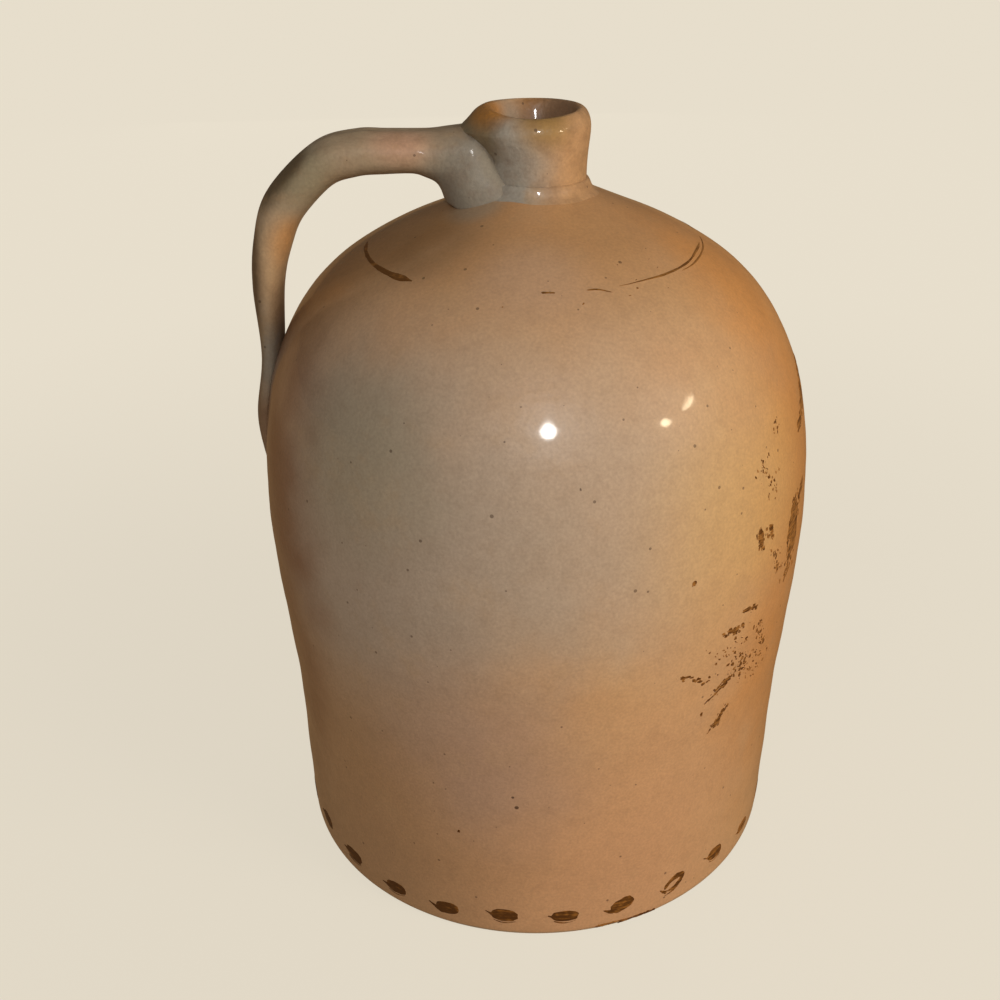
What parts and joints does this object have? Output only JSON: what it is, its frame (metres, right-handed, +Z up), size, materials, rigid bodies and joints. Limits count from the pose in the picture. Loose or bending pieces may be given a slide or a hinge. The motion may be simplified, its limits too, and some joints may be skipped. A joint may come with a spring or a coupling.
{
  "type": "stoneware jug",
  "caption": "Large glazed stoneware jug with a short rolled-lip neck, a pulled strap handle at its side, a brushed line round the shoulder and brushed dabs round the foot.",
  "frame": {"origin": "centre of the foot, on the jug's axis, at the level of the surface that it stands on", "axes": "+Z up along the jug's axis, the handle to -X, +Y away from the picture's camera"},
  "size_m": [0.304, 0.3, 0.415],
  "materials": {
    "body_glaze": "glossy mottled tan and grey glaze with fine iron specks",
    "neck_glaze": "glossy grey and tan glaze, pooled round the coil",
    "handle_glaze": "glossy grey glaze over pulled clay",
    "iron_slip": "dark brown brushed iron slip under the glaze"
  },
  "bodies": {
    "root": {"lower_body": "body_glaze", "shoulder_dome": "body_glaze", "neck": "neck_glaze", "neck_coil": "neck_glaze", "handle": "handle_glaze", "shoulder_line": "iron_slip", "foot_dabs": "iron_slip"}
  },
  "joints": []
}
